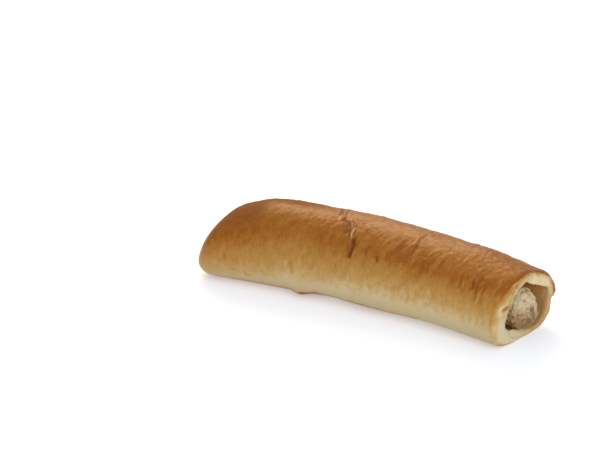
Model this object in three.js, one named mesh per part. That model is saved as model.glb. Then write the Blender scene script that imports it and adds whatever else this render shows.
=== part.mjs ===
// Sausage roll: a sleeve of soft bread dough baked round a cooked sausage.
// Millimetres. +X runs along the roll to its open end, +Y to the side with the seam, and +Z up from the tray.
import * as THREE from "three";
import { ParametricGeometry } from "three/addons/geometries/ParametricGeometry.js";

const { clamp, degToRad, euclideanModulo, lerp, radToDeg, smoothstep } = THREE.MathUtils;

// The bread, as a straight roll.
const LENGTH = 169.8;
const HEIGHT = 40.6; // at the crown
const WIDTH_NIPPED_END = 42;
const WIDTH_OPEN_END = 47;
const NIPPED_SAG = { drop: 7.6, from: 0.26, power: 2 }; // how the crown falls away to each end
const OPEN_SAG = { drop: 7.8, from: 0.4, power: 1.75 };
const CORE_HEIGHT = { nipped: 14.5, middle: 18, open: 16.2 }; // the line that every section is drawn about
const BASE_SINK = 0.9; // how much dough the tray flattens away
const CROWN_SQUARENESS = 2.18; // exponents of the section: 2 is an ellipse
const BASE_SQUARENESS = 2.75;

// What makes it crooked.
const BEND = 6.4; // how far the middle stands off the line between its ends, away from -Y
const NIPPED_LEAN = { slope: 0.39, from: 0.265 }; // mm the end leans back for each mm of height
const OPEN_SKEW = { across: 0.155, upward: 0.06, from: 0.8 }; // mm the end runs on for each mm across or up

// The sausage and its channel.
const SAUSAGE = { radius: 10.2, height: 14.9, offset: 0.4, dome: 9, roundness: 2.6 };
const SAUSAGE_ENDS = { nipped: -78.8, open: 88.3 };
const SAUSAGE_END_SLOPE = { across: 0.12, upward: 0.3, fade: 30 }; // how the open end's face leans back
const CHANNEL_CLEARANCE = 0.5;
const MEAT_SHARE = 0.952; // of the sausage's radius, so that its lumps stay within it

// Coarse lumps of minced meat: waves that run along and round the sausage, as shares of its radius.
const MEAT_LUMPS = [
  { height: 0.018, along: 0.31, round: 2, start: 0 },
  { height: 0.016, along: 0.47, round: -3, start: 1 },
  { height: 0.014, along: 1.3, round: 5, start: 0 },
];

// The open mouth's inner edge: the angle in degrees, and how far it lies from the core line. The upper lip
// hangs into the mouth from 90 to 5 degrees, and a tongue of dough stands up in it from 205 to 290.
const MOUTH_EDGE = [
  [-44, 19], [-30, 20.2], [-12, 19.8], [0, 20.3], [6, 20], [13, 18], [20, 15.4], [28, 13.3],
  [38, 12], [50, 11.2], [62, 10.6], [76, 10.9], [90, 11.9], [105, 11.2], [124, 10.8], [142, 11.1],
  [160, 10.7], [176, 11.3], [190, 13.6], [202, 15.6], [212, 14.3], [226, 12.7], [246, 11.2], [266, 10.8],
  [277, 11.7], [290, 13.7], [304, 16.4], [316, 19],
];
const THIN_EDGES = [
  { from: 18, to: 85, fade: 12 }, // the upper lip
  { from: 218, to: 275, fade: 18 }, // the tongue
];
const EDGE_DEPTH = { thin: 0.9, front: 2.2, back: 1.5 }; // how far the edge is rounded off towards the bore
const EDGE_BACK = { angle: degToRad(-22), from: 0.5, to: 0.95 }; // where the back's depth holds, by cosine

// The hollow behind the edge is three-cornered. Each wave has a count, a height and the direction of a peak.
const MOUTH_ROOM_RADIUS = 14.4;
const MOUTH_ROOM_WAVES = [
  { count: 1, height: 3.4, peak: degToRad(-27) },
  { count: 2, height: 1, peak: degToRad(0) },
  { count: 3, height: 2, peak: degToRad(-27) },
];
const MOUTH_CREVICE = { from: 4, to: 60, fade: 3, depth: 1.8 }; // where the lip parts from the back wall
const MOUTH_ROOM_START = 2.5; // the hollow reaches its full width this far behind the edge
const MOUTH_ROOM_END = [12, 34]; // between these depths the bore narrows to the channel

const NIPPED_MOUTH = { halfWidth: 9, up: 5.2, down: 5.6 };
const NIPPED_MOUTH_DEPTH = [3, 8];
const NIPPED_MOUTH_SQUARENESS = 2.4;

// The rolled-over rims. A rim's crest lies at a share of the wall, counted from the bore.
const OPEN_RIM = { skinDepth: 3.6, crest: 0.45 };
const NIPPED_RIM = { skinDepth: 10.2, boreDepth: 4, crest: 0.3 };
const RIM_SHARES = [0.12, 0.25, 0.38, 0.5, 0.6, 0.74, 0.88]; // steps over a rim, from skin to bore

// The dough's outer layer laps over its start, down to a seam along +Y.
const SEAM_ANGLE = degToRad(-6);
const SEAM_EDGE = degToRad(4); // how far round the side the edge is rounded off
const SEAM_STEP = 1.5;
const SEAM_FADE = degToRad(50); // the outer layer thins out this far up the side
const SEAM_SET_BACK = 0.6; // how far the layer below the seam stops short at the open end
const SET_BACK_FADE = degToRad(35);
const SET_BACK_REACH = 14;

// Swellings and hollows of the skin. Sizes are in mm along the roll and in radians round it.
const SWELLINGS = [
  { x: -60, angle: degToRad(95), long: 14, wide: degToRad(32), rise: 1 }, // shoulder
  { x: -31, angle: degToRad(222), long: 4.5, wide: degToRad(9), rise: 1.8 }, // foot of squeezed dough
  { x: -17, angle: degToRad(225), long: 9, wide: degToRad(16), rise: -0.9 }, // hollow beside the foot
  { x: 38, angle: degToRad(222), long: 12, wide: degToRad(16), rise: -0.6 },
  { x: 60, angle: degToRad(88), long: 12, wide: degToRad(28), rise: 0.9 },
  { x: 84, angle: degToRad(55), long: 7, wide: degToRad(22), rise: -1.6 }, // the lip droops
  { x: 76, angle: degToRad(228), long: 14, wide: degToRad(22), rise: 0.7 }, // flared foot
  { x: -69, angle: degToRad(176), long: 3.5, wide: degToRad(9), rise: -0.6 },
  { x: 83, angle: degToRad(-2), long: 4.5, wide: degToRad(5.5), rise: 1.5 }, // corner of the outer layer
  { x: 85, angle: degToRad(-27), long: 8, wide: degToRad(15), rise: 1.2 },
];

// One deep wrinkle runs round the front of the crown, with a fold of skin standing up beside it.
const WRINKLE = {
  x: -2, curl: 17, from: degToRad(70), to: degToRad(158),
  halfWidth: 1.7, depth: 1.5, fold: 0.5,
};
const WRINKLE_ZONE = [-22, 5]; // stations are closer here

const CRUST = { color: "#a5682b", roughness: 0.45 };
const MEAT = { color: "#b59c74", roughness: 0.7 };

// Facets.
const SKIN_SPACING = 4.2;
const WRINKLE_SPACING = 1.5;
const MOUTH_STEPS = { depth: 20, shares: [0, 0.06, 0.12, 0.3, 0.6] }; // from the mouth's edge to this depth
const BORE_SPACING = 10;
const ROUND_STEPS = 60;
const SAUSAGE_SPACING = 7;
const SAUSAGE_DOME_STEPS = 9;
const SAUSAGE_ROUND_STEPS = 34;

const along = (x) => clamp(x / LENGTH + 0.5, 0, 1); // 0 at the nipped end, 1 at the open end

const angleBetween = (a, b) => Math.atan2(Math.sin(a - b), Math.cos(a - b));

const past = (value, from, reach) => Math.max(0, (value - from) / reach);

const bump = (distance, size) => Math.exp(-((distance / size) ** 2));

// 1 between two angles in degrees, and 0 beyond them by more than fade.
function sector(angle, { from, to, fade }) {
  const off = Math.abs(angleBetween(angle, degToRad((from + to) / 2))) - degToRad((to - from) / 2);
  return 1 - smoothstep(off, 0, degToRad(fade));
}

function crownHeight(u) {
  const nipped = NIPPED_SAG.drop * past(NIPPED_SAG.from, u, NIPPED_SAG.from) ** NIPPED_SAG.power;
  const open = OPEN_SAG.drop * past(u, OPEN_SAG.from, 1 - OPEN_SAG.from) ** OPEN_SAG.power;
  return HEIGHT - nipped - open;
}

function coreHeight(u) {
  const { nipped, middle, open } = CORE_HEIGHT;
  return nipped + (middle - nipped) * smoothstep(u, 0, 0.3) + (open - middle) * smoothstep(u, 0.5, 1);
}

const halfWidth = (u) => lerp(WIDTH_NIPPED_END, WIDTH_OPEN_END, smoothstep(u, 0, 1)) / 2;

// A closed oval about the core line, in polar form.
function ovalRadius(angle, { halfWidth: across, up, down }, upper, lower) {
  const rise = Math.sin(angle);
  const squareness = rise > 0 ? upper : lower;
  const level = Math.abs(Math.cos(angle)) / across;
  const upright = Math.abs(rise) / (rise > 0 ? up : down);
  return (level ** squareness + upright ** squareness) ** (-1 / squareness);
}

function seamStep(angle) {
  const above = angleBetween(angle, SEAM_ANGLE);
  return SEAM_STEP * smoothstep(above, 0, SEAM_EDGE) * (1 - smoothstep(above, SEAM_EDGE, SEAM_FADE));
}

function swelling(x, angle) {
  const rises = SWELLINGS.map(
    (s) => s.rise * bump(x - s.x, s.long) * bump(angleBetween(angle, s.angle), s.wide),
  );
  return rises.reduce((sum, rise) => sum + rise, 0);
}

function wrinkleRise(x, angle) {
  const turn = (angle - WRINKLE.from) / (WRINKLE.to - WRINKLE.from);
  if (turn < 0 || turn > 1) return 0;
  const line = WRINKLE.x - WRINKLE.curl * (1 - turn) ** 2;
  const fold = WRINKLE.fold * bump(x - line + 2 * WRINKLE.halfWidth, WRINKLE.halfWidth);
  return WRINKLE.depth * Math.sin(Math.PI * turn) * (fold - bump(x - line, WRINKLE.halfWidth));
}

function skinRadius(x, angle) {
  const u = along(x);
  const core = coreHeight(u);
  const oval = { halfWidth: halfWidth(u), up: crownHeight(u) - core, down: core + BASE_SINK };
  const radius = ovalRadius(angle, oval, CROWN_SQUARENESS, BASE_SQUARENESS);
  return radius + seamStep(angle) + swelling(x, angle) + wrinkleRise(x, angle);
}

// The sausage's own channel, in polar form about the core line.
function channelRadius(u, angle) {
  const across = SAUSAGE.offset;
  const upward = SAUSAGE.height - coreHeight(u);
  const reach = across * Math.cos(angle) + upward * Math.sin(angle);
  const radius = SAUSAGE.radius + CHANNEL_CLEARANCE;
  return reach + Math.sqrt(radius ** 2 - across ** 2 - upward ** 2 + reach ** 2);
}

function mouthEdgeRadius(angle) {
  const start = MOUTH_EDGE[0][0];
  const turn = euclideanModulo(radToDeg(angle) - start, 360) + start;
  const next = Math.max(1, MOUTH_EDGE.findIndex(([degrees]) => degrees >= turn));
  const [before, after] = [MOUTH_EDGE[next - 1], MOUTH_EDGE[next]];
  return lerp(before[1], after[1], (turn - before[0]) / (after[0] - before[0]));
}

function mouthRoomRadius(angle) {
  const rises = MOUTH_ROOM_WAVES.map(({ count, height, peak }) => height * Math.cos(count * (angle - peak)));
  const crevice = MOUTH_CREVICE.depth * sector(angle, MOUTH_CREVICE);
  return rises.reduce((sum, rise) => sum + rise, MOUTH_ROOM_RADIUS + crevice);
}

function edgeDepth(angle) {
  const thin = THIN_EDGES.reduce((sum, edge) => sum + sector(angle, edge), 0);
  const back = smoothstep(Math.cos(angle - EDGE_BACK.angle), EDGE_BACK.from, EDGE_BACK.to);
  return lerp(lerp(EDGE_DEPTH.front, EDGE_DEPTH.back, back), EDGE_DEPTH.thin, thin);
}

function boreRadius(x, angle) {
  const depth = LENGTH / 2 - x - edgeDepth(angle);
  const channel = channelRadius(along(x), angle);
  const edge = Math.max(mouthEdgeRadius(angle), channelRadius(1, angle));
  const room = Math.max(mouthRoomRadius(angle), edge, channel);
  const open = lerp(edge, room, smoothstep(depth, 0, MOUTH_ROOM_START));
  const radius = lerp(open, channel, smoothstep(LENGTH / 2 - x, ...MOUTH_ROOM_END));
  const nipped = ovalRadius(angle, NIPPED_MOUTH, NIPPED_MOUTH_SQUARENESS, NIPPED_MOUTH_SQUARENESS);
  return lerp(nipped, radius, smoothstep(LENGTH / 2 + x, ...NIPPED_MOUTH_DEPTH));
}

// Below the seam the open end stops short.
function setBack(x, angle) {
  const below = angleBetween(SEAM_ANGLE, angle);
  if (below < 0) return 0;
  const nearEnd = smoothstep(x, LENGTH / 2 - SET_BACK_REACH, LENGTH / 2);
  return SEAM_SET_BACK * (1 - smoothstep(below, 0, SET_BACK_FADE)) * nearEnd;
}

// Turns a point of the straight roll into one of the real roll: bent, with crooked ends, flat on the tray.
function place(x, y, z, target) {
  const u = along(x);
  const aboveMiddle = z - HEIGHT / 2;
  const lean = past(NIPPED_LEAN.from, u, NIPPED_LEAN.from) ** 2 * NIPPED_LEAN.slope * aboveMiddle;
  const skewShare = past(u, OPEN_SKEW.from, 1 - OPEN_SKEW.from) ** 2;
  const skew = skewShare * (OPEN_SKEW.across * y + OPEN_SKEW.upward * aboveMiddle);
  const bend = BEND * (1 - (2 * u - 1) ** 2);
  return target.set(x + lean + skew, y + bend, Math.max(0, z));
}

const spread = (from, to, spacing) => {
  const steps = Math.ceil(Math.abs(to - from) / spacing);
  return Array.from({ length: steps + 1 }, (_, i) => lerp(from, to, i / steps));
};

// A point of a rim: share is 0 at the skin and 1 at the bore.
function rimPoint(end, share, angle) {
  const rim = end > 0 ? { ...OPEN_RIM, boreDepth: edgeDepth(angle) } : NIPPED_RIM;
  const outer = share < 0.5;
  const depth = (outer ? rim.skinDepth : rim.boreDepth) * (1 - Math.sin(Math.PI * share));
  const reach = rim.crest + (outer ? 1 - rim.crest : rim.crest) * Math.cos(Math.PI * share);
  return { x: end * (LENGTH / 2 - depth), reach };
}

function mouthPoint(share, angle) {
  return { x: LENGTH / 2 - lerp(edgeDepth(angle), MOUTH_STEPS.depth, share), reach: 0 };
}

// One lap of the dough's wall: along the skin, over the open rim, back through the bore, over the nipped rim.
function sleeveStations() {
  const half = LENGTH / 2;
  const skin = [
    ...spread(-half + NIPPED_RIM.skinDepth, WRINKLE_ZONE[0], SKIN_SPACING),
    ...spread(...WRINKLE_ZONE, WRINKLE_SPACING).slice(1, -1),
    ...spread(WRINKLE_ZONE[1], half - OPEN_RIM.skinDepth, SKIN_SPACING),
  ];
  const bore = spread(half - MOUTH_STEPS.depth, -half + NIPPED_RIM.boreDepth, BORE_SPACING);
  return [
    ...skin.map((x) => () => ({ x, reach: 1 })),
    ...RIM_SHARES.map((share) => (angle) => rimPoint(1, share, angle)),
    ...MOUTH_STEPS.shares.map((share) => (angle) => mouthPoint(share, angle)),
    ...bore.map((x) => () => ({ x, reach: 0 })),
    ...RIM_SHARES.toReversed().map((share) => (angle) => rimPoint(-1, share, angle)),
  ];
}

// The first two steps round the bread are the two sides of the seam's edge.
function sleeveAngle(step) {
  if (step === 0 || step === ROUND_STEPS) return SEAM_ANGLE;
  return lerp(SEAM_ANGLE + SEAM_EDGE, SEAM_ANGLE + 2 * Math.PI, (step - 1) / (ROUND_STEPS - 1));
}

function sleeveGeometry() {
  const stations = sleeveStations();
  const count = stations.length;
  const sleeve = (s, t, target) => {
    const angle = sleeveAngle(ROUND_STEPS - Math.round(t * ROUND_STEPS));
    const { x, reach } = stations[Math.round(s * count) % count](angle);
    const radius = lerp(boreRadius(x, angle), skinRadius(x, angle), reach);
    const height = coreHeight(along(x)) + radius * Math.sin(angle);
    return place(x - setBack(x, angle), radius * Math.cos(angle), height, target);
  };
  return new ParametricGeometry(sleeve, count, ROUND_STEPS);
}

function meatLumps(x, angle) {
  return MEAT_LUMPS.reduce((sum, { height, along, round, start }) => {
    return sum + height * Math.sin(along * x + round * angle + start);
  }, 0);
}

function sausageStations() {
  const { nipped, open } = SAUSAGE_ENDS;
  const dome = Array.from({ length: SAUSAGE_DOME_STEPS }, (_, i) => {
    const depth = SAUSAGE.dome * (i / SAUSAGE_DOME_STEPS) ** 2;
    return { depth, share: (1 - (1 - depth / SAUSAGE.dome) ** SAUSAGE.roundness) ** (1 / SAUSAGE.roundness) };
  });
  return [
    ...dome.map(({ depth, share }) => ({ x: nipped + depth, share })),
    ...spread(nipped + SAUSAGE.dome, open - SAUSAGE.dome, SAUSAGE_SPACING).map((x) => ({ x, share: 1 })),
    ...dome.toReversed().map(({ depth, share }) => ({ x: open - depth, share })),
  ];
}

function sausageGeometry() {
  const stations = sausageStations();
  const last = stations.length - 1;
  const sausage = (s, t, target) => {
    const { x, share } = stations[Math.round(s * last)];
    const angle = -(t % 1) * 2 * Math.PI;
    const radius = SAUSAGE.radius * share * (MEAT_SHARE + meatLumps(x, angle));
    const y = radius * Math.cos(angle);
    const z = radius * Math.sin(angle);
    const nearEnd = smoothstep(x, SAUSAGE_ENDS.open - SAUSAGE_END_SLOPE.fade, SAUSAGE_ENDS.open);
    const lean = nearEnd * (SAUSAGE_END_SLOPE.across * y + SAUSAGE_END_SLOPE.upward * z);
    return place(x - lean, SAUSAGE.offset + y, SAUSAGE.height + z, target);
  };
  return new ParametricGeometry(sausage, last, SAUSAGE_ROUND_STEPS);
}

function piece(name, geometry, finish) {
  const mesh = new THREE.Mesh(geometry, new THREE.MeshStandardMaterial({ ...finish, metalness: 0 }));
  mesh.name = name;
  return mesh;
}

const roll = new THREE.Group();
roll.add(piece("bread", sleeveGeometry(), CRUST));
roll.add(piece("sausage", sausageGeometry(), MEAT));

// The origin lies on the tray, under the middle of the roll's box.
const middle = new THREE.Box3().setFromObject(roll).getCenter(new THREE.Vector3());
roll.children.forEach((mesh) => mesh.position.set(-middle.x, -middle.y, 0));

export default roll;
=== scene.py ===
"""Sausage roll: a sleeve of soft bread dough baked round a cooked sausage.

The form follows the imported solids' own formulas, so the bread and the sausage stand in for their nodes.
Lengths are in mm up to the meshes, which are in metres. Angles are in radians, but in degrees in the tables.
A place on the bread is (x, angle): x runs along the straight roll to its open end, and the angle runs round
the core line from +Y (the back) over the crown to -Y (the front). Within the dough's wall, reach runs from 0
at the bore to 1 at the skin.
"""
import itertools
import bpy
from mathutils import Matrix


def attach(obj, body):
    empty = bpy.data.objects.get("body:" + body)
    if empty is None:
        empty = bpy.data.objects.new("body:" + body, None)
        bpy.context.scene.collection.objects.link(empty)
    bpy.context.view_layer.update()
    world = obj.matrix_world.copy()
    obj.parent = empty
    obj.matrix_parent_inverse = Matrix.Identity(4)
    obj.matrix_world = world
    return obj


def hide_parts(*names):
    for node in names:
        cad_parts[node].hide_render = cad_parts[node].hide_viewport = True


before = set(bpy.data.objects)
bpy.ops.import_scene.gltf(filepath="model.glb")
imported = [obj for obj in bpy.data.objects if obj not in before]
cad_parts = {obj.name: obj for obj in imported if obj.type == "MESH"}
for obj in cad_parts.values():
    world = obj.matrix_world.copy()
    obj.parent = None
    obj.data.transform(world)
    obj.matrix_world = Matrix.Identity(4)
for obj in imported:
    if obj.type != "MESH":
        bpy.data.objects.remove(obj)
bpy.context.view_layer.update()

from types import SimpleNamespace as Sizes

import bpy
import numpy as np
from mathutils import Vector

MM = 0.001
MIDDLE = np.array([-0.949, 3.658, 0.0])  # middle of the roll's box, as a straight roll

# The bread, as a straight roll.
LENGTH = 169.8
HALF = LENGTH / 2
HEIGHT = 40.6  # at the crown
WIDTH_NIPPED_END = 42.0
WIDTH_OPEN_END = 47.0
NIPPED_SAG = Sizes(drop=7.6, start=0.26, power=2)  # how the crown falls away to each end
OPEN_SAG = Sizes(drop=7.8, start=0.4, power=1.75)
CORE_HEIGHT = Sizes(nipped=14.5, middle=18.0, opened=16.2)  # the line that every section is drawn about
BASE_SINK = 0.9  # how much dough the tray flattens away
CROWN_SQUARENESS = 2.18  # exponents of the section: 2 is an ellipse
BASE_SQUARENESS = 2.75

# What makes it crooked.
BEND = 6.4  # how far the middle stands off the line between its ends, away from -Y
NIPPED_LEAN = Sizes(slope=0.39, start=0.265)  # mm that the end leans back for each mm of height
OPEN_SKEW = Sizes(across=0.155, upward=0.06, start=0.8)  # mm that the end runs on for each mm across or up

# The sausage and its channel.
SAUSAGE = Sizes(radius=10.2, height=14.9, offset=0.4, dome=9.0, roundness=2.6)
SAUSAGE_ENDS = (-78.8, 88.3)
CHANNEL_CLEARANCE = 0.5

rad, cos, sin = np.radians, np.cos, np.sin


def smoothstep(value, low, high):
    share = np.clip((value - low) / (high - low), 0, 1)
    return share * share * (3 - 2 * share)


def lerp(a, b, share):
    return a + (b - a) * share


def past(value, start, reach):
    return np.maximum(0, (value - start) / reach)


def bump(distance, size):
    return np.exp(-((distance / size) ** 2))


def follow(table, places, period=None):
    """Reads a table of (place, value) rows, straight between them."""
    stations, values = zip(*table)
    return np.interp(places, stations, values, period=period)


def along(x):
    """0 at the nipped end and 1 at the open end."""
    return np.clip(x / LENGTH + 0.5, 0, 1)


def near_open_end(x, start, full):
    """0 up to start mm before the open end, and 1 from full mm before it."""
    return smoothstep(x, HALF - start, HALF - full)


def angle_between(a, b):
    return np.arctan2(sin(a - b), cos(a - b))


def sector(angle, start, stop, fade, amount=1):
    """An amount between two angles in degrees, which is 0 beyond them by more than fade."""
    off = np.abs(angle_between(angle, rad((start + stop) / 2))) - rad((stop - start) / 2)
    return amount * (1 - smoothstep(off, 0, rad(fade)))


def sectors(angle, rows):
    return sum(sector(angle, *row) for row in rows)


def degrees_over_crown(angle):
    """The angle in degrees, from -90 under the roll by way of the back to 270."""
    return np.degrees(angle_between(angle, rad(90))) + 90


# ---- random fields

LATTICE = 32  # random values along each side of a field's block
SEED_SHIFT = 0.37  # so that no two fields' lattices line up


def field(points, size, seed):
    """A smooth random field from -1 to 1, with features of about this size, or of one size for each axis."""
    values = np.random.default_rng(seed).uniform(-1, 1, (LATTICE,) * 3)
    scaled = points / size + SEED_SHIFT * seed
    cell = np.floor(scaled).astype(int)
    part = scaled - cell
    part = part * part * (3 - 2 * part)
    total = 0
    for corner in itertools.product((0, 1), repeat=3):
        weight = np.prod(np.where(corner, part, 1 - part), axis=-1)
        x, y, z = np.moveaxis((cell + corner) % LATTICE, -1, 0)
        total = total + weight * values[x, y, z]
    return total


def layered(points, layers):
    """The sum of some fields, each a row of height, size and seed."""
    return sum(height * field(points, size, seed) for height, size, seed in layers)


def patches(points, size, seed, middle, contrast):
    """Random patches from 0 to 1 with soft borders."""
    return np.clip(middle + contrast * field(points, size, seed), 0, 1)


def spots(*parts):
    """Points from one, two or three coordinates."""
    missing = [0 * parts[0]] * (3 - len(parts))
    return np.stack([*parts, *missing], axis=-1)


# ---- the bread's form

def crown_height(u):
    nipped = NIPPED_SAG.drop * past(NIPPED_SAG.start, u, NIPPED_SAG.start) ** NIPPED_SAG.power
    opened = OPEN_SAG.drop * past(u, OPEN_SAG.start, 1 - OPEN_SAG.start) ** OPEN_SAG.power
    return HEIGHT - nipped - opened


def core_height(u):
    risen = lerp(CORE_HEIGHT.nipped, CORE_HEIGHT.middle, smoothstep(u, 0, 0.3))
    return lerp(risen, CORE_HEIGHT.opened, smoothstep(u, 0.5, 1))


def half_width(u):
    return lerp(WIDTH_NIPPED_END, WIDTH_OPEN_END, smoothstep(u, 0, 1)) / 2


def oval_radius(angle, across, up, down, upper, lower):
    """A closed oval about the core line, in polar form, with a squareness for each half."""
    rise = sin(angle)
    squareness = np.where(rise > 0, upper, lower)
    level = np.abs(cos(angle)) / across
    upright = np.abs(rise) / np.where(rise > 0, up, down)
    return (level**squareness + upright**squareness) ** (-1 / squareness)


# The dough's outer layer laps over its start, down to a seam along +Y.
SEAM_ANGLE = rad(-6)
SEAM_EDGE = rad(4)  # how far round the side the edge is rounded off
SEAM_STEP = 1.5
SEAM_FADE = rad(50)  # the outer layer thins out this far up the side
SEAM_WAVES = ((1.5, 11, 0), (0.9, 4.7, 1))  # degrees, mm for each radian of the wave, start


def seam_angle(x):
    """The seam wanders a little up and down along the back."""
    return SEAM_ANGLE + sum(rad(height) * sin(x / long + start) for height, long, start in SEAM_WAVES)


def seam_step(x, angle):
    above = angle_between(angle, seam_angle(x))
    return SEAM_STEP * smoothstep(above, 0, SEAM_EDGE) * (1 - smoothstep(above, SEAM_EDGE, SEAM_FADE))


# Swellings and hollows of the skin: x, angle, size along, size round and rise.
SWELLINGS = (
    (-60, 95, 14, 32, 1.0),  # shoulder
    (-31, 222, 4.5, 9, 1.8),  # foot of squeezed dough
    (-17, 225, 9, 16, -0.9),  # hollow beside the foot
    (38, 222, 12, 16, -0.6),
    (60, 88, 12, 28, 0.9),
    (84, 55, 7, 22, -1.6),  # the lip droops
    (76, 228, 14, 22, 0.7),  # flared foot
    (-69, 176, 3.5, 9, -0.6),
    (83, -2, 4.5, 5.5, 1.5),  # corner of the outer layer
    (85, -27, 8, 15, 1.2),
)


def swelling(x, angle):
    return sum(
        rise * bump(x - at, long) * bump(angle_between(angle, rad(turn)), rad(wide))
        for at, turn, long, wide, rise in SWELLINGS
    )


def skin_radius(x, angle):
    u = along(x)
    core = core_height(u)
    up = crown_height(u) - core
    oval = oval_radius(angle, half_width(u), up, core + BASE_SINK, CROWN_SQUARENESS, BASE_SQUARENESS)
    return oval + seam_step(x, angle) + swelling(x, angle)


def channel_radius(u, angle):
    """The sausage's own channel, in polar form about the core line."""
    across = SAUSAGE.offset
    upward = SAUSAGE.height - core_height(u)
    reach = across * cos(angle) + upward * sin(angle)
    radius = SAUSAGE.radius + CHANNEL_CLEARANCE
    return reach + np.sqrt(radius**2 - across**2 - upward**2 + reach**2)


# The open mouth's inner edge: the angle, and how far it lies from the core line. The upper lip hangs into
# it from 90 to 5 degrees, and a tongue of dough stands up in it from 205 to 290.
MOUTH_EDGE = (
    (-44, 19.4), (-30, 20.2), (-12, 19.8), (0, 20.3), (6, 20.0), (13, 18.0), (20, 15.4), (28, 13.3),
    (38, 12.0), (50, 11.2), (62, 10.6), (76, 10.9), (90, 11.9), (105, 11.2), (124, 10.8), (142, 11.1),
    (160, 10.7), (176, 11.3), (190, 13.6), (202, 15.6), (212, 14.3), (226, 12.7), (246, 11.2), (266, 10.8),
    (277, 11.7), (290, 13.7), (304, 16.4), (316, 18.6),
)
MOUTH_EDGE_ROUNDING = (-4, 0, 4)  # degrees that the table is averaged over
MOUTH_EDGE_ARC = 12.0  # mm for each radian round the edge
TORN_EDGE = ((0.3, 2.1, 21), (0.15, 0.9, 22))
TORN_SHARE = (0.35, 1.6)  # where the edge is thick, and where thin
THIN_EDGES = ((18, 85, 12), (218, 275, 18))  # the upper lip and the tongue
EDGE_DEPTH = Sizes(thin=0.9, front=2.2, back=1.5)  # how far the edge is rounded off towards the bore
EDGE_BACK = Sizes(angle=rad(-22), start=0.5, stop=0.95)  # where the back's depth holds, by cosine

# The hollow behind the edge is three-cornered. Each wave has a count, a height and the direction of a peak.
MOUTH_ROOM_RADIUS = 14.4
MOUTH_ROOM_WAVES = ((1, 3.4, -27), (2, 1.0, 0), (3, 2.0, -27))
MOUTH_CREVICE = (4, 60, 3, 1.8)  # where the lip parts from the back wall, and how deep
MOUTH_ROOM_START = 2.5  # the hollow reaches its full width this far behind the edge
MOUTH_ROOM_END = (12, 34)  # between these depths the bore narrows to the channel
LOW_ROOM_END = (2, 8)  # the same, under the sausage
UNDER_SAUSAGE = (205, 262, 12)
EDGE_IN_CHANNEL = 0.4  # how far the edge may stand in the channel's clearance
ROOM_IN_EDGE = 0.4  # how far the hollow may stand in from the edge
ROOM_OVER_CHANNEL = 0.3

NIPPED_MOUTH = (9, 5.2, 5.6, 2.4, 2.4)  # half width, up, down and squareness of both halves
NIPPED_MOUTH_DEPTH = (3, 8)


def edge_depth(angle):
    back = smoothstep(cos(angle - EDGE_BACK.angle), EDGE_BACK.start, EDGE_BACK.stop)
    return lerp(lerp(EDGE_DEPTH.front, EDGE_DEPTH.back, back), EDGE_DEPTH.thin, sectors(angle, THIN_EDGES))


def mouth_edge_radius(angle):
    degrees = np.degrees(angle)
    smooth = sum(follow(MOUTH_EDGE, degrees + shift, 360) for shift in MOUTH_EDGE_ROUNDING) / 3
    torn = layered(spots(MOUTH_EDGE_ARC * cos(angle), MOUTH_EDGE_ARC * sin(angle)), TORN_EDGE)
    return smooth + torn * lerp(*TORN_SHARE, sectors(angle, THIN_EDGES))


def mouth_room_radius(angle):
    waves = sum(height * cos(count * (angle - rad(peak))) for count, height, peak in MOUTH_ROOM_WAVES)
    return MOUTH_ROOM_RADIUS + waves + sector(angle, *MOUTH_CREVICE)


def bore_radius(x, angle):
    depth = HALF - x
    channel = channel_radius(along(x), angle)
    edge = np.maximum(mouth_edge_radius(angle), channel_radius(1.0, angle) - EDGE_IN_CHANNEL)
    room = np.maximum(mouth_room_radius(angle), edge - ROOM_IN_EDGE)
    room = np.maximum(room, channel + ROOM_OVER_CHANNEL)
    lip = edge_depth(angle)
    opened = lerp(edge, room, smoothstep(depth, lip, lip + MOUTH_ROOM_START))
    under = sector(angle, *UNDER_SAUSAGE)
    start, stop = (lerp(beside, below, under) for beside, below in zip(MOUTH_ROOM_END, LOW_ROOM_END))
    radius = lerp(opened, channel, smoothstep(depth, start, stop))
    nipped = oval_radius(angle, *NIPPED_MOUTH)
    return lerp(nipped, radius, smoothstep(HALF + x, *NIPPED_MOUTH_DEPTH))


def place(x, y, z):
    """Turns a point of the straight roll into one of the real roll: bent, with crooked ends, on the tray."""
    u = along(x)
    above_middle = z - HEIGHT / 2
    lean = past(NIPPED_LEAN.start, u, NIPPED_LEAN.start) ** 2 * NIPPED_LEAN.slope * above_middle
    skew_share = past(u, OPEN_SKEW.start, 1 - OPEN_SKEW.start) ** 2
    skew = skew_share * (OPEN_SKEW.across * y + OPEN_SKEW.upward * above_middle)
    bend = BEND * (1 - (2 * u - 1) ** 2)
    return spots(x + lean + skew, y + bend, np.maximum(0, z))


# ---- the ends

# Below the seam the open end stops short.
SEAM_SET_BACK = 0.6
SET_BACK_FADE = rad(35)
SET_BACK_REACH = 14.0

# The tongue's face lies behind the rim beside it, from a fold that slants over the rim.
TONGUE = Sizes(recess=0.8, fold=204, slant=65, width=5, end=(300, 330), reach=(0.45, 0.75))

# The rolled-over rims. A crest is a reach.
OPEN_RIM = Sizes(skin_depth=3.6, crest=0.45)
NIPPED_RIM = Sizes(skin_depth=10.2, bore_depth=4.0, crest=0.3)

RIM_ARC = 20.0  # mm for each radian round the open end's rim
RIM_WALL = 9.0  # mm from the bore to the skin, near enough
RIM_DENTS = ((0.3, 5, 23), (0.17, 2.2, 24), (0.07, 1.0, 25))

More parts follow.
